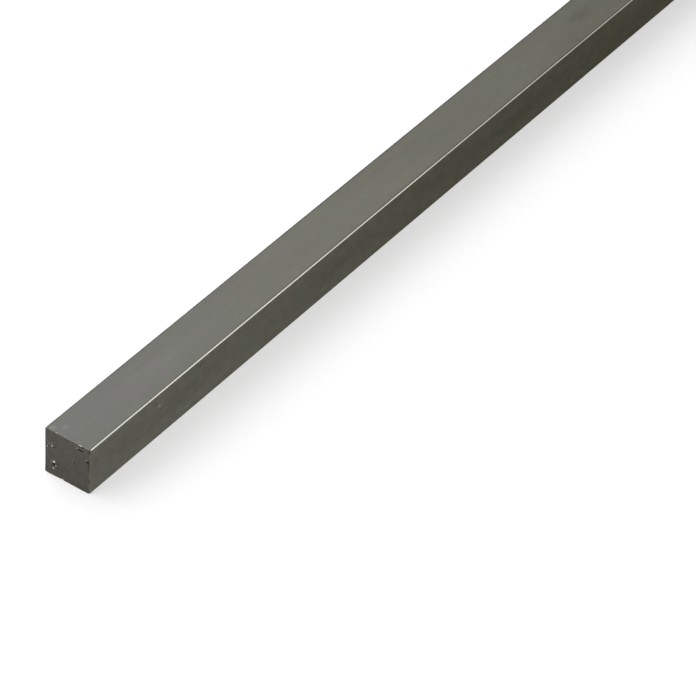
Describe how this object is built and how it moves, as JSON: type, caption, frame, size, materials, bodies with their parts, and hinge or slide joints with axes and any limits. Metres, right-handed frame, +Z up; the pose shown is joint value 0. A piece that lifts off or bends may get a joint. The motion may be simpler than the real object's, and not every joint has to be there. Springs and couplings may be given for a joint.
{
  "type": "aluminium square bar",
  "caption": "Solid square metal bar with small rounds on its long edges and bevelled sawn ends, sold as raw stock for cutting, drilling, clamping and framing.",
  "frame": {"origin": "middle of the long face that the bar lies on, on the floor", "axes": "+X along the bar, away from the end that the picture shows; +Y across the bar; +Z up, out of the top face"},
  "size_m": [1, 0.012, 0.012],
  "materials": {
    "mill_finish": "drawn, mill finish, dull warm grey with fine lines along the bar, satin"
  },
  "bodies": {
    "root": {"square_bar": "mill_finish"}
  },
  "joints": []
}
